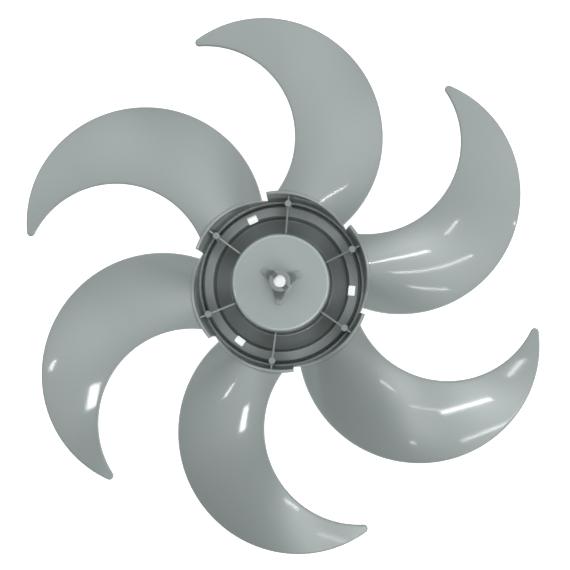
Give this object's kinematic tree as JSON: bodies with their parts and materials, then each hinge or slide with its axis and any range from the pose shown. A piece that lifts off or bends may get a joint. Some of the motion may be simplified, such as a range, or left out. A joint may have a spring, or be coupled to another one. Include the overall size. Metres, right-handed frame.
{
  "type": "pedestal fan blade",
  "caption": "One-piece moulded fan wheel with swept, cambered blades around a hollow hub; its centre collar slides on a fan motor's shaft and a cap nut holds it from the front.",
  "frame": {"origin": "on the shaft axis, at the plane of the front ring that the wheel rests on", "axes": "+Z along the shaft axis towards the rear, where the motor is; +X through the middle of one rib inside the hub's skirt"},
  "size_m": [0.373, 0.3662, 0.044],
  "materials": {
    "grey_plastic": "glossy silver-grey moulding, opaque"
  },
  "bodies": {
    "root": {"fan_blade": "grey_plastic"}
  },
  "joints": []
}
